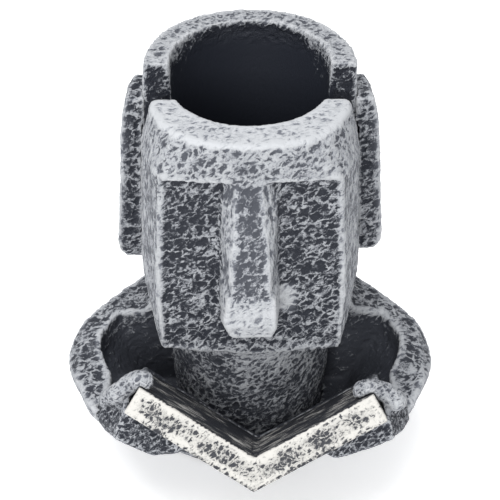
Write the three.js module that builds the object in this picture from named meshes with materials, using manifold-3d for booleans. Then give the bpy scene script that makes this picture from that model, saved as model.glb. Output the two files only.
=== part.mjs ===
// A stone-look desk organiser: a long-faced carved figure whose hollow head is a pen cup with a
// phone slot across it, and whose arms close round a tray and hold up an open book.
// Millimetres, +Z up, the face looks along -Y. The cup's axis crosses X = 0, near Y = 0.
import * as THREE from "three";
import { ConvexGeometry } from "three/addons/geometries/ConvexGeometry.js";
import { mergeVertices } from "three/addons/utils/BufferGeometryUtils.js";
import Module from "manifold-3d";

const wasm = await Module();
wasm.setup();

// Driving dimensions.
const GAP = 0.3; // between two castings that touch
const FELT = 1.2; // thickness of the felt under the base
const BASE = FELT + GAP; // height of the torso's underside

const RIM_BACK = 140; // top of the wall behind the cup
const RIM_FRONT = 132.5; // top of the forehead
const BORE_R = 23.8; // pen cup at the rim; it narrows to its floor, as a casting's mould needs
const BORE_FLOOR_R = 20.5;
const BORE_Y = 2.5;
const CUP_FLOOR = 28;
const SLOT_FLOOR = 119; // phone slot, cut from side to side
const SLOT_FRONT = -6.7;
const SLOT_BACK = 0;

const HEAD_BACK_R = 31.8; // round back of the head, about the cup's axis
const FACE_Y = -28.6; // flat face panel, set back under the brow
const BROW = 119.5;
const CHIN = 55;
// The head's half width and its right front outline at heights from the chin to the rim. The jaw and
// cheeks are boxy; the forehead is round at the rim.
const JAW = { z: CHIN, half: 31.9, front: [[31.6, -10], [30.6, -17], [27.6, -29.2], [0, -29.3]] };
const CHEEK = { z: 76, half: 34.2, front: [[34, -10], [33, -17], [28.6, -29.2], [0, -29.4]] };
const TEMPLE = { z: BROW, half: 32.4, front: [[32.2, -10], [31.2, -17], [26.4, -29.2], [0, -29.4]] };
const FOREHEAD = [[32.3, 0], [32.1, -9], [30.6, -18.5], [28.4, -26], [25.8, -30.4], [12, -32], [0, -32.4]];
const CROWN = [
  [27.2, -6], [29.1, -8.6], [28.9, -11.5], [26.2, -18.6], [21.8, -24.8],
  [16.2, -28.9], [8.4, -31.6], [0, -32.5],
];
const BACK_HALF = 31.3; // half width of the wall behind the cup, at its rim
const NECK_R = 28.3; // under the chin
const NECK_FOOT_R = 24.5;
const NECK_FOOT = 7.5; // the neck's foot, let into the tray floor

const TRAY_FLOOR = 10.5;
const ARM = 11.5; // thickness of the arms and shoulders round the tray
const SEAT = 46; // where the head rests on the shoulders
const SHOULDER_FULL = 32; // height at which the body reaches its full outline
const BASE_HALF = 42; // half width of the foot of the body
const BASE_DEPTH = 35.5;
const BASE_Y = 7;

const LEAF_HALF = 46.4; // open book: spine to the end of a leaf
const LEAF_HEIGHT = 34;
const BOOK_THICK = 9.3;
const LEAF_ANGLE = THREE.MathUtils.degToRad(30); // each leaf turned back from the X axis
const BOOK_TILT = THREE.MathUtils.degToRad(55); // the spine, from upright
const BOOK_TURN = THREE.MathUtils.degToRad(-3); // held a little askew
const SPINE_TOP = new THREE.Vector3(0.5, -65.4, 28.5);

const WRIST_X = 46.8; // middle of the wrist, and the way that the hand leaves the arm
const WRIST_Y = -32.8;
const WRIST_TURN = THREE.MathUtils.degToRad(-154);

const EAR_TOP = 129.5;
const LEFT_EAR_BOTTOM = 69.5; // the left ear, seen from the front, hangs a little lower
const RIGHT_EAR_BOTTOM = 72.4;

// ---- solids -------------------------------------------------------------------------------

function solid(geometry) {
  const bare = geometry.index ? geometry.toNonIndexed() : geometry.clone();
  bare.deleteAttribute("normal");
  bare.deleteAttribute("uv");
  const merged = mergeVertices(bare, 1e-4);
  return new wasm.Manifold(
    new wasm.Mesh({
      numProp: 3,
      vertProperties: merged.attributes.position.array,
      triVerts: new Uint32Array(merged.index.array),
    }),
  );
}

function join(solids) {
  return solids.reduce((all, one) => all.add(one));
}

function box(low, high) {
  const size = high.map((value, i) => value - low[i]);
  const geometry = new THREE.BoxGeometry(...size);
  geometry.translate(...low.map((value, i) => value + size[i] / 2));
  return solid(geometry);
}

function cone(footRadius, topRadius, y, bottom, top) {
  const geometry = new THREE.CylinderGeometry(topRadius, footRadius, top - bottom, 56);
  geometry.rotateX(Math.PI / 2);
  geometry.translate(0, y, (bottom + top) / 2);
  return solid(geometry);
}

// The smallest convex block round some [x, y, z] corners.
function hull(corners) {
  return solid(new ConvexGeometry(corners.map((corner) => new THREE.Vector3(...corner))));
}

// A flat outline of [x, y] points, raised from one height to another.
function prism(outline, bottom, top, steps = 1) {
  const shape = new THREE.Shape(outline.map(([x, y]) => new THREE.Vector2(x, y)));
  const geometry = new THREE.ExtrudeGeometry(shape, {
    depth: top - bottom,
    steps,
    bevelEnabled: false,
  });
  geometry.translate(0, 0, bottom);
  return geometry;
}

// The same outline seen from the front, as [x, z], or from the side, as [y, z].
function frontPrism(outline, yLow, yHigh) {
  const geometry = prism(outline, -yHigh, -yLow);
  geometry.rotateX(Math.PI / 2);
  return solid(geometry);
}

function sidePrism(outline, xLow, xHigh) {
  const geometry = prism(outline, xLow, xHigh);
  geometry.rotateX(Math.PI / 2);
  geometry.rotateZ(Math.PI / 2);
  return solid(geometry);
}

// A closed outline from its right half, given from the back to the front.
function mirrored(half) {
  const left = half
    .filter(([x]) => x > 0.01)
    .map(([x, y]) => [-x, y])
    .reverse();
  return [...half, ...left];
}

function smooth(points, samples) {
  const curve = new THREE.CatmullRomCurve3(
    points.map(([x, y]) => new THREE.Vector3(x, y, 0)),
    true,
  );
  return curve.getPoints(samples).slice(0, -1).map((point) => [point.x, point.y]);
}

function geometryOf(made) {
  const mesh = made.getMesh();
  const geometry = new THREE.BufferGeometry();
  geometry.setAttribute("position", new THREE.BufferAttribute(mesh.vertProperties, 3));
  geometry.setIndex(new THREE.BufferAttribute(mesh.triVerts, 1));
  return geometry;
}

function mirrorX(made) {
  const geometry = geometryOf(made);
  geometry.scale(-1, 1, 1);
  geometry.setIndex(new THREE.BufferAttribute(geometry.index.array.slice().reverse(), 1));
  return solid(geometry);
}

// A solid with its neighbours' gap added all round, for cutting a seat.
function withGap(made) {
  const copies = [made];
  for (const axis of [0, 1, 2]) {
    for (const way of [-GAP, GAP]) {
      const shift = [0, 0, 0];
      shift[axis] = way;
      copies.push(solid(geometryOf(made).translate(...shift)));
    }
  }
  return join(copies);
}

// ---- the open book ------------------------------------------------------------------------

const BOOK_PLACE = new THREE.Matrix4()
  .makeTranslation(SPINE_TOP)
  .multiply(new THREE.Matrix4().makeRotationZ(BOOK_TURN))
  .multiply(new THREE.Matrix4().makeRotationX(BOOK_TILT));

// A point on the book, on its right (1) or left (-1) leaf: along the leaf from the spine, in from the
// cover, and up from the top edge.
function onBook(side, along, inwards, up) {
  const point = new THREE.Vector3(
    side * (along * Math.cos(LEAF_ANGLE) - inwards * Math.sin(LEAF_ANGLE)),
    along * Math.sin(LEAF_ANGLE) + inwards * Math.cos(LEAF_ANGLE),
    up,
  );
  return point.applyMatrix4(BOOK_PLACE).toArray();
}

// Both leaves as one V, from the cover's depth to the pages' depth and from one height to another.
function bookBlock(cover, pages, low, high, reach) {
  const onLeaf = (along, inwards) => [
    along * Math.cos(LEAF_ANGLE) - inwards * Math.sin(LEAF_ANGLE),
    along * Math.sin(LEAF_ANGLE) + inwards * Math.cos(LEAF_ANGLE),
  ];
  const outline = mirrored([
    [0, pages / Math.cos(LEAF_ANGLE)],
    onLeaf(reach, pages),
    onLeaf(reach, cover),
    [0, cover / Math.cos(LEAF_ANGLE)],
  ]);
  const geometry = prism(outline.reverse(), low, high);
  geometry.applyMatrix4(BOOK_PLACE);
  return solid(geometry);
}

const book = bookBlock(0, BOOK_THICK, -LEAF_HEIGHT, 0, LEAF_HALF);
const bookClearance = bookBlock(
  -GAP,
  BOOK_THICK + GAP,
  -LEAF_HEIGHT - GAP,
  GAP,
  LEAF_HALF + GAP,
);

// ---- head: pen cup, forehead, face and neck -----------------------------------------------

// A head outline at one height, from the round back to the front, widened by an extra all round.
function headRing(z, half, front, extra) {
  const radius = HEAD_BACK_R + extra;
  const right = front.map(([x, y]) => [x > 0 ? x + extra : 0, y - extra]);
  for (let i = 0; i <= 12; i++) {
    const turn = (Math.PI / 2) * (i / 12);
    right.push([(half + extra) * Math.cos(turn), BORE_Y + radius * Math.sin(turn)]);
  }
  return right.flatMap(([x, y]) => [[x, y, z], [-x, y, z]]);
}

// The head without its cup and slot: face, forehead and back wall.
function headBlock(extra) {
  const rings = [JAW, CHEEK, TEMPLE].map(({ z, half, front }) => headRing(z, half, front, extra));
  const chinBow = [[0, -29.2, 52.4], [14, -29.2, 53.2], [-14, -29.2, 53.2]];
  const temple = headRing(BROW, TEMPLE.half, TEMPLE.front, extra);
  const rim = headRing(RIM_BACK, BACK_HALF, [[BACK_HALF, 0]], extra);
  const back = hull([...temple, ...rim]).intersect(box([-50, SLOT_BACK, 0], [50, 50, 150]));
  const both = ([x, y], z) => [[x + extra, y, z], [-x - extra, y, z]];
  const forehead = hull([
    ...FOREHEAD.flatMap((point) => both(point, BROW)),
    ...CROWN.flatMap((point) => both(point, RIM_FRONT)),
  ]);
  return join([hull([...rings.flat(), ...chinBow]), back, forehead]);
}

function makeHead() {
  const nape = hull([
    ...headRing(SEAT + GAP, 31.2, [[31, -6]], 0),
    ...headRing(CHIN + 1, JAW.half, [[31, -6]], 0),
  ]).intersect(
    sidePrism([[4, SEAT - 1], [50, SEAT - 1], [50, CHIN + 2], [-6, CHIN + 2], [-6, CHIN]], -50, 50),
  );
  const neck = cone(NECK_FOOT_R, NECK_R, 0, NECK_FOOT + GAP, CHIN + 1);
  const facePanel = frontPrism(
    mirrored([[0, BROW], [24.8, BROW], [27, 74], [27, CHIN + 1.5], [0, CHIN + 1.5]]),
    -50,
    FACE_Y,
  );
  const bridge = hull([
    [3, FACE_Y - 4, BROW + 0.5], [-4.2, FACE_Y - 4, BROW + 0.5],
    [8.3, FACE_Y + 1, BROW + 0.5], [-9.4, FACE_Y + 1, BROW + 0.5],
    [4.6, FACE_Y - 8, 95], [-4.6, FACE_Y - 8, 95], [6, FACE_Y - 9.5, 84], [-6, FACE_Y - 9.5, 84],
    [8.3, FACE_Y + 1, 68], [-9.6, FACE_Y + 1, 68],
  ]);
  const noseTip = hull([
    [7.2, FACE_Y - 10, 82], [-7.2, FACE_Y - 10, 82],
    [7.7, FACE_Y - 10, 72], [-8.2, FACE_Y - 10, 72],
    [6.4, FACE_Y - 8, 65.5], [-5.8, FACE_Y - 8, 65.5],
    [8.6, FACE_Y + 1, 86], [-9.8, FACE_Y + 1, 86],
    [8.4, FACE_Y + 1, 67], [-9.4, FACE_Y + 1, 67],
  ]);
  return join([headBlock(0), nape, neck])
    .subtract(facePanel)
    .add(bridge)
    .add(noseTip)
    .subtract(box([-50, SLOT_FRONT, SLOT_FLOOR], [50, SLOT_BACK, RIM_BACK + 1]))
    .subtract(cone(BORE_FLOOR_R, BORE_R, BORE_Y, CUP_FLOOR, RIM_BACK + 0.01));
}

// ---- ears ---------------------------------------------------------------------------------

function earTenon(clearance) {
  return box(
    [29 - clearance, 2 - clearance, 88 - clearance],
    [36, 9 + clearance, 112 + clearance],
  );
}

function makeEar(bottom) {
  const slab = hull([
    [28, -1, EAR_TOP - 0.8], [37, -1, EAR_TOP - 0.8], [38.8, -1, EAR_TOP - 9],
    [28, 12.5, EAR_TOP], [34.5, 12.5, EAR_TOP], [37, 12.5, EAR_TOP - 4],
    [42.1, -1, bottom + 7], [41.8, -1, bottom + 3], [39.6, -1, bottom + 0.4], [28, -1, bottom],
    [41.5, 12.5, bottom + 7], [41, 12.5, bottom + 3], [39, 12.5, bottom + 0.4], [28, 12.5, bottom],
  ]);
  const slotEnd = box([0, -10, SLOT_FLOOR - 10], [BACK_HALF + GAP, SLOT_BACK + GAP, RIM_BACK]);
  return slab.subtract(headBlock(GAP)).subtract(slotEnd).add(earTenon(0));
}

// ---- torso: foot, back, shoulders, tray and arms ------------------------------------------

const SHOULDER_LINE = [
  [0, 43], [22, 36], [37, 24], [45, 16.8], [52.5, 8.8], [58.7, -0.5],
  [60.7, -9.5], [58.9, -19], [55, -28], [49.4, -38], [26, -35], [0, -34],
];

// The body grows from a round foot to the full shoulder line; an inset gives its inside.
function bodyBlock(inset) {
  const geometry = prism(smooth(mirrored(SHOULDER_LINE), 64), BASE, 60, 12);
  const position = geometry.attributes.position;
  for (let i = 0; i < position.count; i++) {
    const x = position.getX(i);
    const y = position.getY(i) - BASE_Y;
    const grown = Math.min(1, (position.getZ(i) - BASE) / (SHOULDER_FULL - BASE)) ** 1.25;
    const toFoot = 1 / Math.hypot(x / BASE_HALF, y / BASE_DEPTH);
    const scale = THREE.MathUtils.lerp(toFoot, 1, grown) - inset / Math.hypot(x, y);
    position.setXY(i, x * scale, BASE_Y + y * scale);
  }
  return solid(geometry);
}

// The space for small things, with a wall left under the book for its lower edge to lie against.
function trayCut() {
  const inside = bodyBlock(ARM).intersect(box([-60, -60, TRAY_FLOOR], [60, 5, 60]));
  const abovePages = box([-45, -70, TRAY_FLOOR], [45, -20, 60]);
  const underBook = bookBlock(-60, BOOK_THICK, -LEAF_HEIGHT - 5, 20, LEAF_HALF + 3);
  const lapSide = bookBlock(-60, 2, -LEAF_HEIGHT - 34, -LEAF_HEIGHT - 4, LEAF_HALF + 8);
  const lapMiddle = bookBlock(-60, 5, -LEAF_HEIGHT - 34, -LEAF_HEIGHT - 4, LEAF_HALF / 2);
  return inside.add(abovePages).subtract(join([underBook, lapSide, lapMiddle]));
}

// A block whose end face is the wrist, turned to cross the right arm.
function atWrist(length, width, height, start, across, z) {
  const geometry = new THREE.BoxGeometry(length, width, height);
  geometry.translate(start + length / 2, across, 0);
  geometry.rotateZ(WRIST_TURN);
  geometry.translate(WRIST_X, WRIST_Y, z);
  return solid(geometry);
}

function makeTorso(hands) {
  const acrossTop = frontPrism(
    mirrored([
      [0, SEAT], [31.5, SEAT], [36, 42], [46, 40.5], [56, 38.5], [60, 35], [62.5, 28], [63, 0], [0, 0],
    ]),
    -80,
    80,
  );
  const alongTop = sidePrism(
    [
      [-50, 0], [-50, 36], [-30, 38], [-12, 40], [4, 43], [10, SEAT],
      [32, SEAT], [38, 43], [43, 36], [46, 26], [46, 0],
    ],
    -80,
    80,
  );
  return bodyBlock(0)
    .intersect(acrossTop)
    .intersect(alongTop)
    .subtract(trayCut())
    .subtract(cone(NECK_FOOT_R + GAP, NECK_R + GAP, 0, NECK_FOOT, CHIN + 1))
    .subtract(join(hands.map(withGap)))
    .subtract(bookClearance);
}

// ---- hands --------------------------------------------------------------------------------

// A rounded bar through some points, as thick as a finger.
function finger(points, radius) {
  const knuckles = points.map((point) => {
    const ball = new THREE.IcosahedronGeometry(radius, 1);
    ball.translate(...point);
    const corners = ball.getAttribute("position");
    return Array.from({ length: corners.count }, (_, i) => [
      corners.getX(i), corners.getY(i), corners.getZ(i),
    ]);
  });
  return join(knuckles.slice(1).map((corners, i) => hull([...knuckles[i], ...corners])));
}

function makeHand(side) {
  const onThis = (along, inwards, up) => onBook(side, along, inwards, up);
  const broad = side > 0 ? 1.5 : 0; // the right wrist is the broader one
  const palm = hull([
    [side * (50.4 + broad), -34 - broad, 35], [side * (48.6 + broad), -38.5 - broad, 34],
    [side * (46 + broad), -42.5 - broad, 33], [side * 43.6, -44.5 - broad, 32],
    [side * 47.5, -30, 21], [side * 43, -35, 21], [side * 43, -26, 36], [side * 43, -25, 20],
    onThis(48, 6, -7), onThis(48, 6, -24), onThis(45, -6, -7), onThis(44, -7, -22),
  ]);
  const fist = side > 0 ? -7 : -10; // the left fist is the plumper one
  const fingers = hull([
    onThis(47, 0, -6), onThis(47, 0, -26), onThis(45.5, fist, -8), onThis(46, fist, -22),
    onThis(40, fist, -10), onThis(40, fist, -21), onThis(32, fist + 1.5, -9), onThis(32, fist + 2, -20),
    onThis(24, 0, -7), onThis(24, 0, -18), onThis(26, -4, -9), onThis(26, -4, -17),
  ]);
  const overPages = side > 0 ? [46, 10.5, -5] : [48, 10, -5];
  const thumbTip = side > 0 ? [43.8, 10.8, -7] : [46.4, 11, -3.5];
  const thumb = finger(
    [
      [side * 47.2, -33, 36], onThis(51.3, 3, -8), onThis(49.7, 7, -8),
      onThis(...overPages), onThis(...thumbTip),
    ],
    3.2,
  );
  const pastWrist = atWrist(60, 60, 80, 0, 0, 40);
  const tenon = atWrist(9, 5, 6, -4, -1.8, 32.5);
  return join([palm, fingers, thumb])
    .intersect(side > 0 ? pastWrist : mirrorX(pastWrist))
    .add(side > 0 ? tenon : mirrorX(tenon))
    .subtract(bookClearance);
}

function makeFelt() {
  const foot = new THREE.CylinderGeometry(1, 1, FELT, 64);
  foot.rotateX(Math.PI / 2);
  foot.scale(BASE_HALF - 1.5, BASE_DEPTH - 1.5, 1);
  foot.translate(0, BASE_Y, FELT / 2);
  return solid(foot);
}

// ---- the figure ---------------------------------------------------------------------------

const STONE = { color: 0x6b6e75, roughness: 0.85, metalness: 0 };
const WORN_STONE = { color: 0xd2d2ce, roughness: 0.8, metalness: 0 };
const FELT_FINISH = { color: 0x1d1d1f, roughness: 1, metalness: 0 };

const figure = new THREE.Group();

function place(name, made, finish) {
  const geometry = geometryOf(made);
  geometry.computeVertexNormals();
  const piece = new THREE.Mesh(geometry, new THREE.MeshStandardMaterial(finish));
  piece.name = name;
  figure.add(piece);
}

const earSockets = earTenon(GAP).add(mirrorX(earTenon(GAP)));
const hands = [makeHand(1), makeHand(-1)];

place("torso", makeTorso(hands), STONE);
place("head", makeHead().subtract(earSockets), STONE);
place("right_ear", makeEar(RIGHT_EAR_BOTTOM), STONE);
place("left_ear", mirrorX(makeEar(LEFT_EAR_BOTTOM)), STONE);
place("right_hand", hands[0], STONE);
place("left_hand", hands[1], STONE);
place("open_book", book, WORN_STONE);
place("base_felt", makeFelt(), FELT_FINISH);

// The frame's origin is the middle of the figure's box, on the surface that it stands on.
const middle = new THREE.Box3().setFromObject(figure).getCenter(new THREE.Vector3());
figure.position.set(-middle.x, -middle.y, 0);

export default figure;
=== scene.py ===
import math

import bmesh
import bpy
import numpy as np
from mathutils import Matrix, Vector
from mathutils.bvhtree import BVHTree


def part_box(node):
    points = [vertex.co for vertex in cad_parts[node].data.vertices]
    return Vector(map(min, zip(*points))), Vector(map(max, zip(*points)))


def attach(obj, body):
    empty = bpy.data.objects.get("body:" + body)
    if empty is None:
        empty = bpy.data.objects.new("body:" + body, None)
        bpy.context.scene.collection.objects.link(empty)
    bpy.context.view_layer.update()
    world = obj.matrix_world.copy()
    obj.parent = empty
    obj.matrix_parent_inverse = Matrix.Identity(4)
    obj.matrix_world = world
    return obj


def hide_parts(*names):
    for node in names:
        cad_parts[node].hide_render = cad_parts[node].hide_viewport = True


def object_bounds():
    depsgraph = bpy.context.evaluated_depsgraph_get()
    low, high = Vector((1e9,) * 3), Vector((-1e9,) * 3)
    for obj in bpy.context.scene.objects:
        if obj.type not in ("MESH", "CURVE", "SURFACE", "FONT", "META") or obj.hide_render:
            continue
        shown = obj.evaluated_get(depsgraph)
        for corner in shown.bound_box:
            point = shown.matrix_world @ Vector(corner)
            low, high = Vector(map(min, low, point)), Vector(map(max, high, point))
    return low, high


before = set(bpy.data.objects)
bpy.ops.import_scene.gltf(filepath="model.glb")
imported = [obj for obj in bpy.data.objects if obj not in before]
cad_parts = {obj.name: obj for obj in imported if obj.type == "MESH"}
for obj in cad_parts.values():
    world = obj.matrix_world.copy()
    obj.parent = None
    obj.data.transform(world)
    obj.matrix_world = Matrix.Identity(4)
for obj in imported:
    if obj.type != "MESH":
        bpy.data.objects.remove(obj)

cad_low, cad_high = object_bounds()

# ---- The room ---------------------------------------------------------------------------------
# The figure stands on white card under a large soft tent with two soft boxes, as small goods are
# shown for sale. The camera looks down on its face and into its cup.

MM = 0.001
HEAD_BACK = 34.3 * MM  # the back of the head, behind its mid line
MIDDLE_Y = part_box("head")[1].y - HEAD_BACK  # the head's mid line, front to back
CAMERA_TURN = math.radians(-0.5)
CAMERA_PITCH = math.radians(37.57)
CAMERA_PLACE = Vector((0, -357.7, 346.5)) * MM  # from the foot of the head's mid line
CAMERA_LENS = 100.8
CAMERA_SENSOR = 36
FAR_ENOUGH = 20  # metres, well past the card

camera = bpy.data.objects.new("camera", bpy.data.cameras.new("camera"))
bpy.context.scene.collection.objects.link(camera)
camera.data.lens = CAMERA_LENS
camera.data.sensor_width = CAMERA_SENSOR
camera.data.clip_end = FAR_ENOUGH
camera.matrix_world = (
    Matrix.Translation((0, MIDDLE_Y, 0))
    @ Matrix.Rotation(CAMERA_TURN, 4, "Z")
    @ Matrix.Translation(CAMERA_PLACE)
    @ Matrix.Rotation(math.pi / 2 - CAMERA_PITCH, 4, "X")
)
bpy.context.scene.camera = camera
bpy.context.scene.view_settings.view_transform = "Standard"


def linear(hex_colour):
    """An sRGB hex colour as the linear RGBA that shaders take."""
    shown = [int(hex_colour[i : i + 2], 16) / 255 for i in (0, 2, 4)]
    return (*(c / 12.92 if c <= 0.04045 else ((c + 0.055) / 1.055) ** 2.4 for c in shown), 1)


def add(tree, kind, links=None, **settings):
    """Adds a node. Links fill its inputs, by name or number, with a value or a node's output."""
    node = tree.nodes.new(kind)
    for name, value in settings.items():
        setattr(node, name, value)
    for socket, value in (links or {}).items():
        if isinstance(value, bpy.types.NodeSocket):
            tree.links.new(value, node.inputs[socket])
        else:
            node.inputs[socket].default_value = value
    return node


def painted(name, colour, roughness):
    """A bare material with one Principled shader, and with it its tree and that shader."""
    material = bpy.data.materials.new(name)
    material.use_nodes = True
    shader = material.node_tree.nodes["Principled BSDF"]
    shader.inputs["Base Color"].default_value = linear(colour)
    shader.inputs["Roughness"].default_value = roughness
    return material, material.node_tree, shader


CARD_HALF = 4  # metres, so that its edge shows only from near the level of the table
CARD_CLOUD = 333.3 * MM  # from one faint cloud in the card to the next
CARD_GLOW = 0.25

table_top = bpy.data.meshes.new("table_top")
sheet = bmesh.new()
bmesh.ops.create_grid(sheet, x_segments=1, y_segments=1, size=CARD_HALF)
sheet.to_mesh(table_top)
sheet.free()
table = bpy.data.objects.new("table_top", table_top)
bpy.context.scene.collection.objects.link(table)
# Matt white card, a shade uneven so that it isn't one flat tone. It is lit from under too, as on a
# light table, which leaves the figure only a faint shadow.
card, card_tree, card_shader = painted("white card", "ffffff", 0.9)
card_place = add(card_tree, "ShaderNodeTexCoord").outputs["Object"]
card_tone = add(
    card_tree, "ShaderNodeTexNoise",
    {"Vector": card_place, "Scale": 1 / CARD_CLOUD, "Detail": 2.0},
)
card_colour = add(
    card_tree, "ShaderNodeMix",
    {"Factor": card_tone.outputs["Fac"], 6: linear("fdfdfd"), 7: linear("ffffff")},
    data_type="RGBA",
)
card_tree.links.new(card_colour.outputs[2], card_shader.inputs["Base Color"])
card_shader.inputs["Emission Color"].default_value = linear("ffffff")
card_shader.inputs["Emission Strength"].default_value = CARD_GLOW
table_top.materials.append(card)

TENT_GLOW = 0.66
tent = bpy.data.worlds.new("tent")
tent.use_nodes = True
tent_cloth = tent.node_tree.nodes["Background"]
tent_cloth.inputs["Color"].default_value = linear("fcfdff")
tent_cloth.inputs["Strength"].default_value = TENT_GLOW
bpy.context.scene.world = tent

figure_middle = Vector((0, 0, cad_high.z / 2))
# Each soft box: its place and the length of its side, in metres. Both face the figure.
soft_boxes = {
    "top_box": (Vector((-0.15, -0.1, 0.9)), 0.6),
    "front_box": (Vector((-0.2, -0.9, 0.5)), 0.4),
}
SOFT_BOX_WATTS = 5.5
for name, (place, side_length) in soft_boxes.items():
    light = bpy.data.lights.new(name, "AREA")
    light.size = side_length
    light.energy = SOFT_BOX_WATTS
    soft_box = bpy.data.objects.new(name, light)
    bpy.context.scene.collection.objects.link(soft_box)
    soft_box.location = place
    soft_box.rotation_euler = (figure_middle - place).to_track_quat("-Z", "Y").to_euler()

# ---- Felt under the base ----------------------------------------------------------------------
# A thin pad of black felt, cut to the foot and glued under the casting so that it doesn't scratch
# a desk. It is the CAD's own solid, with the material on it.

FIBRE = 0.4 * MM  # real fibres are finer, and are drawn this coarse so that they show
NAP = 0.2 * MM

# Pressed black felt: its fibres lie every way, and give a soft broken black with no shine.
felt, felt_tree, felt_shader = painted("black felt", "1b1b1d", 1.0)
felt_place = add(felt_tree, "ShaderNodeTexCoord").outputs["Object"]
fibres = add(
    felt_tree, "ShaderNodeTexNoise", {"Vector": felt_place, "Scale": 1 / FIBRE, "Detail": 4.0}
)
felt_tone = add(
    felt_tree, "ShaderNodeMix",
    {"Factor": fibres.outputs["Fac"], 6: linear("0d0d0e"), 7: linear("2c2c2f")},
    data_type="RGBA",
)
felt_nap = add(
    felt_tree, "ShaderNodeBump",
    {"Height": fibres.outputs["Fac"], "Distance": NAP, "Strength": 0.6},
)
felt_tree.links.new(felt_tone.outputs[2], felt_shader.inputs["Base Color"])
felt_tree.links.new(felt_nap.outputs["Normal"], felt_shader.inputs["Normal"])
felt_shader.inputs["Sheen Weight"].default_value = 0.3
felt_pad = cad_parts["base_felt"].data
felt_pad.materials.clear()
felt_pad.materials.append(felt)

# ---- Torso ------------------------------------------------------------------------------------
# One casting of resin filled with stone powder: foot, back, shoulders, both arms and the tray. Its
# master was carved, with worn edges and small raised veins between flat pits. It is painted
# blue-black, then dry-brushed with off-white.

# All in millimetres.
VEIN = 0.65  # from the floor of a pit to the top of a vein
PIT = 2.381  # from one pit to the next
PIT_SWAY = 2.778  # from one bend of the veins to the next
SWAY = 5.0  # how far those bends swing
GRIT = 1.515  # from one grain of the broken skin to the next
SCORE = 1.1765  # from one scored line to the next
WARP = 0.9  # that a broad hand-carved flat wanders from true
WANDER = 11.11  # from one rise of such a flat to the next

CHISEL = (0.77, 0.2, 0.6)  # the way that the carver's strokes ran, and the pits are long
STRETCH = 0.35  # how much of the pits' length the strokes added
MEAN_SKIN = 0.55  # the skin's mean height, between a pit at 0 and a vein at 1


def relief(tree, place, fineness, grain, streak):
    """The carved skin's height, about 0 in a pit and 1 on a vein. Places are in millimetres, and
    fineness makes the pits smaller. Where streak is 1 the skin is scored along the grain instead."""
    place = add(
        tree, "ShaderNodeVectorMath", {0: place, "Scale": fineness}, operation="SCALE"
    ).outputs[0]
    along = add(tree, "ShaderNodeVectorMath", {0: place, 1: CHISEL}, operation="DOT_PRODUCT")
    stroke = add(
        tree, "ShaderNodeVectorMath", {0: CHISEL, "Scale": along.outputs["Value"]},
        operation="SCALE",
    )
    place = add(
        tree, "ShaderNodeVectorMath", {0: stroke.outputs[0], 1: (-STRETCH,) * 3, 2: place},
        operation="MULTIPLY_ADD",
    ).outputs[0]
    sway = add(
        tree, "ShaderNodeTexNoise",
        {"Vector": place, "Scale": 1 / PIT_SWAY, "Detail": 3.0, "Roughness": 0.6},
    )
    swayed = add(
        tree, "ShaderNodeVectorMath", {0: sway.outputs["Color"], 1: (SWAY,) * 3, 2: place},
        operation="MULTIPLY_ADD",
    ).outputs[0]
    pits = add(
        tree, "ShaderNodeTexVoronoi", {"Vector": swayed, "Scale": 1 / PIT},
        feature="DISTANCE_TO_EDGE",
    )
    vein = add(
        tree, "ShaderNodeMapRange",
        {"Value": pits.outputs["Distance"], "From Max": 0.42, "To Min": 1.0, "To Max": 0.0},
        interpolation_type="SMOOTHSTEP",
    )
    grit = add(
        tree, "ShaderNodeTexNoise",
        {"Vector": swayed, "Scale": 1 / GRIT, "Detail": 3.0, "Roughness": 0.62},
    )
    # A noise seldom leaves its middle half, which is spread here over the whole height.
    crests = add(
        tree, "ShaderNodeMapRange",
        {"Value": grit.outputs["Fac"], "From Min": 0.28, "From Max": 0.72},
    )
    pitted = add(
        tree, "ShaderNodeMix", {"Factor": 0.5, 2: vein.outputs[0], 3: crests.outputs[0]}
    )
    scores = add(
        tree, "ShaderNodeTexNoise",
        {"Vector": grain, "Scale": 1 / SCORE, "Detail": 3.0, "Roughness": 0.7},
    )
    scored = add(
        tree, "ShaderNodeMapRange",
        {"Value": scores.outputs["Fac"], "From Min": 0.32, "From Max": 0.68},
    )
    return add(
        tree, "ShaderNodeMix", {"Factor": streak, 2: pitted.outputs[0], 3: scored.outputs[0]}
    ).outputs[0]


# The carved skin moves a casting's vertices along their normals, by the relief and the warp.
carved_skin = bpy.data.node_groups.new("carved skin", "GeometryNodeTree")
carved_skin.interface.new_socket("Geometry", in_out="INPUT", socket_type="NodeSocketGeometry")
carved_skin.interface.new_socket("Geometry", in_out="OUTPUT", socket_type="NodeSocketGeometry")
casting = carved_skin.nodes.new("NodeGroupInput").outputs[0]
position = add(carved_skin, "GeometryNodeInputPosition").outputs[0]
place_mm = add(
    carved_skin, "ShaderNodeVectorMath", {0: position, "Scale": 1 / MM}, operation="SCALE"
).outputs[0]
noted = {}
for name in ("fineness", "grain", "streak", "depth"):
    noted[name] = add(
        carved_skin, "GeometryNodeInputNamedAttribute", {"Name": name},
        data_type="FLOAT_VECTOR" if name == "grain" else "FLOAT",
    ).outputs[0]
skin_height = relief(
    carved_skin, place_mm, noted["fineness"], noted["grain"], noted["streak"]
)
lift = add(
    carved_skin, "ShaderNodeMath", {0: skin_height, 1: MEAN_SKIN + 0.5 * WARP / VEIN},
    operation="SUBTRACT",
)
wander = add(
    carved_skin, "ShaderNodeTexNoise", {"Vector": place_mm, "Scale": 1 / WANDER, "Detail": 2.0}
)
off_true = add(
    carved_skin, "ShaderNodeMath", {0: wander.outputs["Fac"], 1: WARP / VEIN, 2: lift.outputs[0]},
    operation="MULTIPLY_ADD",
)
proud = add(
    carved_skin, "ShaderNodeMath", {0: off_true.outputs[0], 1: noted["depth"]},
    operation="MULTIPLY",
)
outward = add(carved_skin, "GeometryNodeInputNormal").outputs[0]
shift = add(
    carved_skin, "ShaderNodeVectorMath", {0: outward, "Scale": proud.outputs[0]},
    operation="SCALE",
)
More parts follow.
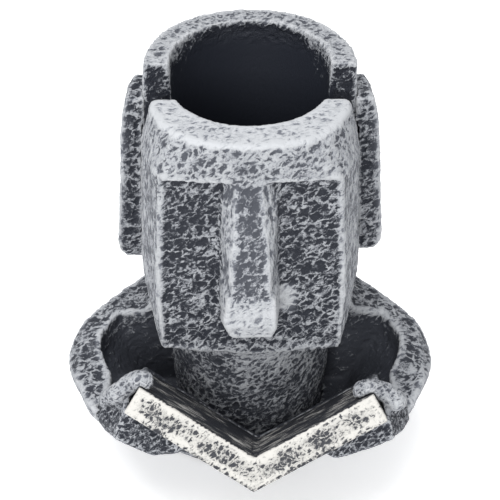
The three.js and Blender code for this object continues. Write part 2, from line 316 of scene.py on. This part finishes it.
carved = add(
    carved_skin, "GeometryNodeSetPosition", {"Geometry": casting, "Offset": shift.outputs[0]}
)
carved_skin.links.new(carved.outputs[0], carved_skin.nodes.new("NodeGroupOutput").inputs[0])


def settled(piece):
    """Applies the piece's modifiers to its mesh."""
    evaluated = piece.evaluated_get(bpy.context.evaluated_depsgraph_get())
    finished = bpy.data.meshes.new_from_object(evaluated)
    piece.modifiers.clear()
    piece.data = finished


def vectors_of(piece, what):
    """The vertices' places in millimetres (co) or their normals (normal), as an array."""
    flat = np.empty(len(piece.data.vertices) * 3)
    piece.data.vertices.foreach_get(what, flat)
    return flat.reshape(-1, 3) * (1 / MM if what == "co" else 1)


def rounded_casting(node, skin, wear):
    """A copy of a CAD node as one even skin of faces skin millimetres wide, with its edges worn
    round by that many rounds of wear."""
    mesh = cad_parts[node].data.copy()
    mesh.name = node + "_cast"
    merged = bmesh.new()
    merged.from_mesh(mesh)
    bmesh.ops.remove_doubles(merged, verts=merged.verts, dist=0.01 * MM)
    merged.to_mesh(mesh)
    merged.free()
    piece = bpy.data.objects.new(node + "_cast", mesh)
    bpy.context.scene.collection.objects.link(piece)
    remesh = piece.modifiers.new("skin", "REMESH")
    remesh.mode = "VOXEL"
    remesh.voxel_size = skin * MM
    smooth = piece.modifiers.new("wear", "SMOOTH")
    smooth.factor = 0.5
    smooth.iterations = wear
    settled(piece)
    return piece


def neighbour_mean(piece, values, rounds):
    """Values at the vertices, averaged with their neighbours' a number of times."""
    edges = np.empty(len(piece.data.edges) * 2, dtype=np.int64)
    piece.data.edges.foreach_get("vertices", edges)
    a, b = edges.reshape(-1, 2).T
    count = len(piece.data.vertices)
    ends = np.bincount(a, minlength=count) + np.bincount(b, minlength=count)
    for _ in range(rounds):
        total = np.empty_like(values)
        for column in range(values.shape[1]):
            v = values[:, column]
            total[:, column] = np.bincount(a, v[b], count) + np.bincount(b, v[a], count)
        values = 0.5 * values + 0.5 * total / ends[:, None]
    return values


def ramp(values, low, high):
    """0 at low and under, 1 at high and over, smooth between."""
    t = np.clip((values - low) / (high - low), 0, 1)
    return t * t * (3 - 2 * t)


EDGE_SPREAD = 12  # rounds of averaging, about as wide as a worn edge
EDGE_PROUD = (0.03, 0.3)  # mm above that average, from where an edge starts to where it is sharp


def edges_of(piece):
    """1 on the piece's worn edges, 0 on its flats and in its hollows."""
    points = vectors_of(piece, "co")
    around = neighbour_mean(piece, points, EDGE_SPREAD)
    proud_mm = np.einsum("ij,ij->i", points - around, vectors_of(piece, "normal"))
    return ramp(proud_mm, *EDGE_PROUD)


RAYS = 28
RAY_WAYS = []  # spread evenly over a ball, along a spiral from pole to pole
for step in range(RAYS):
    rise = 1 - (2 * step + 1) / RAYS
    turn = math.pi * (3 - math.sqrt(5)) * step
    out = math.sqrt(1 - rise * rise)
    RAY_WAYS.append(Vector((out * math.cos(turn), out * math.sin(turn), rise)))
shells = bmesh.new()
for cad_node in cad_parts.values():
    shells.from_mesh(cad_node.data)
whole_figure = BVHTree.FromBMesh(shells)
shells.free()
REACH = 70 * MM  # how far off a wall still shades a place
CLEAR = 1.6 * MM  # a ray starts this far out, clear of its own skin
GRAZING = 0.12  # a ray nearer the skin than this is left out


def openness(piece):
    """The share of each vertex's outlook that nothing blocks within reach."""
    seen = np.empty(len(piece.data.vertices))
    for i, vertex in enumerate(piece.data.vertices):
        start = vertex.co + vertex.normal * CLEAR
        ways = [way for way in RAY_WAYS if way.dot(vertex.normal) > GRAZING]
        free = sum(whole_figure.ray_cast(start, way, REACH)[0] is None for way in ways)
        seen[i] = free / max(len(ways), 1)
    return neighbour_mean(piece, seen[:, None], 6)[:, 0]


def set_attribute(piece, name, values):
    """Writes one number, or one vector, to each vertex under a name."""
    values = np.asarray(values, dtype=np.float32)
    kind, field = ("FLOAT", "value") if values.ndim == 1 else ("FLOAT_VECTOR", "vector")
    attribute = piece.data.attributes.new(name, kind, "POINT")
    attribute.data.foreach_set(field, values.ravel())


def greyed(brush):
    """How far the paint greys the bottoms of the pits under a given load of the brush."""
    return ramp(brush, -0.2, 0.4)


def carve(piece, fineness, depth, brush, dust_and_fill_light=None, streak=0, grain=None):
    """Breaks the skin into veins and pits as deep as depth (0 to 1) says, and notes how much paint
    the dry brush leaves at each vertex: 0 covers about half of it, 0.3 nearly all. Dust is how far
    the pits' bottoms are greyed: by the same paint, and in the tray and the crevices also by painted
    light that lifts their shade."""
    everywhere = np.ones(len(piece.data.vertices))
    upright = vectors_of(piece, "co") * (1, 1, 0.2)
    set_attribute(piece, "fineness", fineness * everywhere)
    set_attribute(piece, "dust_and_fill_light", greyed(brush) if dust_and_fill_light is None else dust_and_fill_light)
    set_attribute(piece, "depth", depth * VEIN * MM * everywhere)
    set_attribute(piece, "brush", brush)
    set_attribute(piece, "streak", streak * everywhere)
    set_attribute(piece, "grain", upright if grain is None else grain)
    cut = piece.modifiers.new("carve", "NODES")
    cut.node_group = carved_skin
    settled(piece)
    piece.data.shade_smooth()


BRISTLE = 2 / 3  # mm from one skip of the bristles to the next
BRUSHLOAD = 9.091  # mm that the brush goes before its load changes


def dry_brushed(name, pit, dusted_and_lit, thin, pale, patches):
    """Cast resin painted dark, then dry-brushed pale: the brush's load stays on the veins. Pit and
    dusted are the pits' colours, bare and greyed, and thin and pale the paint's own. The greyed one
    is the paint's dust, and in the tray and the crevices it is also painted light that lifts their
    shade. The larger patches is, the more the load changes from place to place."""
    material, tree, shader = painted(name, pit, 0.7)
    shader.inputs["Specular IOR Level"].default_value = 0.2
    position = add(tree, "ShaderNodeTexCoord").outputs["Object"]
    place = add(
        tree, "ShaderNodeVectorMath", {0: position, "Scale": 1 / MM}, operation="SCALE"
    ).outputs[0]
    noted = {}
    for measure in ("fineness", "grain", "streak", "brush", "dust_and_fill_light", "depth"):
        reading = "Vector" if measure == "grain" else "Fac"
        noted[measure] = add(
            tree, "ShaderNodeAttribute", attribute_name=measure
        ).outputs[reading]
    # The bristles skip over the skin, and the load runs out over a centimetre or so.
    skip = add(
        tree, "ShaderNodeTexNoise",
        {"Vector": place, "Scale": 1 / BRISTLE, "Detail": 4.0, "Roughness": 0.75},
    )
    fade = add(
        tree, "ShaderNodeTexNoise", {"Vector": place, "Scale": 1 / BRUSHLOAD, "Detail": 2.0}
    )
    load = relief(tree, place, noted["fineness"], noted["grain"], noted["streak"])
    for noise, amount in ((skip, 0.6), (fade, patches)):
        centred = add(
            tree, "ShaderNodeMath", {0: noise.outputs["Fac"], 1: 0.5}, operation="SUBTRACT"
        )
        load = add(
            tree, "ShaderNodeMath", {0: centred.outputs[0], 1: amount, 2: load},
            operation="MULTIPLY_ADD",
        ).outputs[0]
    load = add(tree, "ShaderNodeMath", {0: load, 1: noted["brush"]}, operation="ADD").outputs[0]
    cover = add(
        tree, "ShaderNodeMapRange", {"Value": load, "From Min": 0.44, "From Max": 0.76},
        interpolation_type="SMOOTHSTEP",
    ).outputs[0]
    wash = add(tree, "ShaderNodeMapRange", {"Value": load, "From Min": 0.5, "From Max": 1.05})
    ground = add(
        tree, "ShaderNodeMix", {"Factor": noted["dust_and_fill_light"], 6: linear(pit), 7: linear(dusted_and_lit)},
        data_type="RGBA",
    )
    brushed = add(
        tree, "ShaderNodeMix", {"Factor": wash.outputs[0], 6: linear(thin), 7: linear(pale)},
        data_type="RGBA",
    )
    colour = add(
        tree, "ShaderNodeMix", {"Factor": cover, 6: ground.outputs[2], 7: brushed.outputs[2]},
        data_type="RGBA",
    )
    # The bare resin in the pits has a faint sheen, and the paint has none.
    dull = add(tree, "ShaderNodeMapRange", {"Value": cover, "To Min": 0.5, "To Max": 0.88})
    bump = add(
        tree, "ShaderNodeBump", {"Height": load, "Distance": noted["depth"], "Strength": 1.0}
    )
    tree.links.new(colour.outputs[2], shader.inputs["Base Color"])
    tree.links.new(dull.outputs[0], shader.inputs["Roughness"])
    tree.links.new(bump.outputs["Normal"], shader.inputs["Normal"])
    return material


# Resin cast with stone powder: blue-black pits between off-white veins, dull all over, which reads
# as weathered volcanic stone.
stone = dry_brushed("dry-brushed cast stone", "20232b", "6a6d75", "888b91", "b6b8bb", 0.45)


def finish_casting(piece, node, material):
    """Puts the material on the finished casting, which takes the place of its CAD node."""
    piece.data.materials.clear()
    piece.data.materials.append(material)
    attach(piece, "root")
    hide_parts(node)


torso = rounded_casting("torso", 0.8, 4)
place = vectors_of(torso, "co")
normal = vectors_of(torso, "normal")
edge = edges_of(torso)
open_share = openness(torso)
# The outside of the arms and back is scored along the arms; their tops keep wide dark flats.
outside = ramp(-normal[:, 2], -0.75, -0.2) * ramp(open_share, 0.55, 0.8)
tray = 1 - ramp(open_share, 0.3, 0.72)
TRAY_FADE = 220  # rounds of averaging, by which the paint fades down the wall
tray = neighbour_mean(torso, tray[:, None], TRAY_FADE)[:, 0]
brush = -0.06 + 0.3 * edge + 0.1 * outside - 0.3 * ramp(tray, 0.5, 1)
carve(
    torso,
    fineness=0.8,
    depth=1 - 0.6 * tray,
    brush=brush,
    # Deep in the tray the pits' bottoms are greyed more, as painted light that lifts the tray's
    # shade; elsewhere the grey is the paint's own dust.
    dust_and_fill_light=np.maximum(greyed(brush), 0.3 * tray),
    streak=0.6 * outside,
    grain=place * (0.4, 0.4, 1.0),
)
finish_casting(torso, "torso", stone)

# ---- Head -------------------------------------------------------------------------------------
# One casting of the same resin: forehead, brow, long flat face, nose, jaw, the wall behind the cup,
# and the neck, which stands in the tray floor. The cup runs down into the neck. It is smooth, where
# the mould's core was, and only its lip caught the brush.

# All in millimetres, up from the desk or out from the head's mid line.
BACK_RIM = 140
FRONT_RIM = 132.5
BROW = 119.5
NOSE_TIP = 84  # the top of the nose's pale lower end
CHIN = 55
CUP_FLOOR = 28
CUP_RADIUS = 23.8
CUP_BEHIND = 2.5  # the cup's axis, behind the head's mid line
SLOT_AHEAD = 4  # the phone slot, ahead of it
SLOT_BARE = 112  # what faces the slot from behind is left dark, down to here
FACE_AHEAD = 28.6  # the flat face panel
FACE_HALF = 27.5
NOSE_HALF = 11
CHEEK_HALF = 28.2
SMEAR_X = 10.5  # beside the nose's tip, where the brush slipped
SMEAR_Z = 75
SMEAR_HALF_WIDTH = 3.2
SMEAR_HALF_HEIGHT = 5
FRONT_ONLY = 20  # the smear is nowhere behind this

head = rounded_casting("head", 0.8, 3)
x, y, z = (vectors_of(head, "co") - (0, MIDDLE_Y / MM, 0)).T
normal = vectors_of(head, "normal")
edge = edges_of(head)
open_share = openness(head)
to_front = -normal[:, 1]
in_front = y <= -SLOT_AHEAD
under_brow = z < BROW - 0.5

cup_radius = np.hypot(x, y - CUP_BEHIND)
lip = np.where(
    in_front, ramp(z, FRONT_RIM - 6.5, FRONT_RIM - 0.5), ramp(z, BACK_RIM - 9, BACK_RIM - 1)
)
in_cup = (
    (1 - ramp(cup_radius, CUP_RADIUS + 0.4, CUP_RADIUS + 1.4))
    * ramp(z, CUP_FLOOR - 2, CUP_FLOOR + 1)
    * (1 - lip)
)
slot_face = ramp(to_front, 0.5, 0.9) * ~in_front * (z > SLOT_BARE)
rim = ramp(z, FRONT_RIM - 1.9, FRONT_RIM - 0.7) * in_front
forehead = ramp(z, BROW - 1, BROW + 1) * in_front * (1 - rim)
back_rim = ramp(z, BACK_RIM - 2, BACK_RIM - 0.6)
sides = (
    ramp(np.abs(x), CHEEK_HALF - 2, CHEEK_HALF)
    * ramp(z, CHIN - 5, CHIN + 1)
    * (1 - ramp(z, FRONT_RIM - 8.5, FRONT_RIM - 1.5))
    * (1 - in_cup)
)
nose = ramp(-y, FACE_AHEAD + 1, FACE_AHEAD + 2) * (np.abs(x) < NOSE_HALF) * under_brow
nose_front = nose * ramp(to_front, 0.85, 0.95)
nose_tip = nose * (1 - ramp(z, NOSE_TIP - 6, NOSE_TIP))
nose_side = nose * (1 - nose_front) * (1 - nose_tip)
nose_panel = nose_front * (1 - nose_tip)
smear_x = (x - SMEAR_X) / SMEAR_HALF_WIDTH
smear_z = (z - SMEAR_Z) / SMEAR_HALF_HEIGHT
smear = np.exp(-(smear_x**4) - smear_z**4) * (y < -FRONT_ONLY)
face = (
    ramp(-y, FACE_AHEAD - 2.1, FACE_AHEAD - 0.6)
    * (np.abs(x) < FACE_HALF)
    * under_brow
    * (z > CHIN - 1)
    * (1 - nose)
)
neck = 1 - ramp(z, CHIN - 5, CHIN - 1)
crevice = 1 - ramp(open_share, 0.25, 0.6)
deep_in_cup = in_cup * (0.8 - 0.4 * ramp(z, 108, 128) * (y > 0))

# What each region adds to the brush's load, or takes from it.
brush = (
    0.02
    + 0.3 * edge
    + 0.05 * forehead
    + 0.27 * rim
    + 0.08 * back_rim
    + 0.08 * sides
    + 0.08 * nose_side
    + 0.22 * nose_tip
    + 0.45 * smear
    + 0.04 * neck
    - 0.14 * face
    - 0.18 * nose_panel
    - 0.3 * slot_face
    - 0.16 * crevice
    - deep_in_cup
)
# In the crevices outside the cup the pits' bottoms are greyed more, as painted light that lifts
# their shade.
dust_and_fill_light = greyed(brush) + 0.3 * nose_panel + 0.12 * crevice * (1 - in_cup) + 0.03 * in_cup
carve(
    head,
    fineness=1.0,
    depth=(1 - 0.95 * in_cup) * (1 - 0.6 * rim) * (1 - 0.4 * nose_front),
    brush=brush,
    dust_and_fill_light=np.clip(dust_and_fill_light, 0, 1),
    streak=0.6 * np.clip(sides + nose_side, 0, 1) * (1 - rim),
    grain=vectors_of(head, "co") * (1, 1, 0.3),
)
finish_casting(head, "head", stone)

# ---- Ears -------------------------------------------------------------------------------------
# Two long slabs of the same stone-filled resin, cast apart. Each is set by a tenon into a socket
# in the side of the head, with a dark line left round it, and its outer edge is scored upright.

EAR_EDGE = 41.8  # mm out from the middle, half way up
EAR_HALFWAY = 75  # mm up from the desk
EAR_LEAN = 0.085  # the outer edge leans in to the top

for side in ("left", "right"):
    ear = rounded_casting(side + "_ear", 0.5, 4)
    place = vectors_of(ear, "co")
    upright_edge = np.abs(place[:, 0]) + EAR_LEAN * (place[:, 2] - EAR_HALFWAY)
    outer = ramp(upright_edge, EAR_EDGE - 2.6, EAR_EDGE)
    carve(
        ear,
        fineness=0.9,
        depth=1,
        # The ear's face takes less paint than the head's and stays dark beside the head: partly the
        # dry brush missing it, partly painted shade. The paler band of paint runs along the outer
        # edge.
        brush=-0.12 + 0.3 * edges_of(ear) + 0.14 * outer,
        streak=0.4 * outer,
    )
    finish_casting(ear, side + "_ear", stone)

# ---- Hands ------------------------------------------------------------------------------------
# Two mittens of the same stone-filled resin, cast apart: fingers under the cover, thumb over the
# pages. Each has a tenon in a socket in the arm's end. The thumbs caught the most paint.

FIST_TOP = 32  # mm up from the desk
THUMB_FOOT = 40

for side in ("left", "right"):
    hand = rounded_casting(side + "_hand", 0.5, 6)
    place = vectors_of(hand, "co")
    thumb = ramp(place[:, 2], THUMB_FOOT, THUMB_FOOT + 6)
    fist = 1 - ramp(place[:, 2], FIST_TOP - 6, FIST_TOP)
    carve(
        hand,
        fineness=1.4,
        depth=0.8,
        brush=-0.12 + 0.2 * edges_of(hand) + 0.22 * thumb + 0.06 * fist,
        streak=0.7 * fist,
        grain=place * (0.35, 0.5, 1.0),
    )
    finish_casting(hand, side + "_hand", stone)

# ---- Open book --------------------------------------------------------------------------------
# The book's two leaves are one casting, held by the hands in a cradle in the belly. Its top edges
# are nearly white, with clusters of small pits down their middles. Its pages are dark and scored
# along the lines.

# The same resin with a thicker coat of a warmer, paler off-white, which is rubbed through in
# patches, so the top edges look like worn plaster.
book_stone = dry_brushed("worn cast stone", "24262c", "6a6b6f", "a09f9c", "c6c4bf", 1.3)
book = rounded_casting("open_book", 0.5, 3)
place = vectors_of(book, "co")
normal = vectors_of(book, "normal")
edge = edges_of(book)
top_edge = ramp(normal[:, 2], 0.45, 0.7) * ramp(-normal[:, 1], 0.3, 0.6)
pages = ramp(normal[:, 2], -0.2, 0.1) * ramp(normal[:, 1], 0.2, 0.5)
# The border along the leaves' edges stays clean: it is where the surface soon turns away.
BORDER_SPREAD = 65  # rounds of averaging, about as wide as the border
turning = neighbour_mean(book, normal, BORDER_SPREAD)
border = 1 - ramp(np.einsum("ij,ij->i", turning, normal), 0.86, 0.99)
# The pages are scored along each leaf, which is the long way of its top edge.
LINE_STRETCH = 0.85
grain = place.copy()
for leaf in (place[:, 0] < 0, place[:, 0] >= 0):
    leaf_top = place[leaf & (top_edge > 0.9)]
    along = np.linalg.svd(leaf_top - leaf_top.mean(axis=0), full_matrices=False)[2][0]
    grain[leaf] -= LINE_STRETCH * np.outer(place[leaf] @ along, along)
carve(
    book,
    fineness=1.6,
    depth=0.25 + 0.45 * top_edge * (1 - border),
    brush=-0.1 + 0.2 * edge + top_edge * (0.34 + 0.5 * border) - 0.08 * pages,
    dust_and_fill_light=0.1 + 0.25 * ramp(top_edge, 0, 1),
    streak=pages,
    grain=grain,
)
finish_casting(book, "open_book", book_stone)
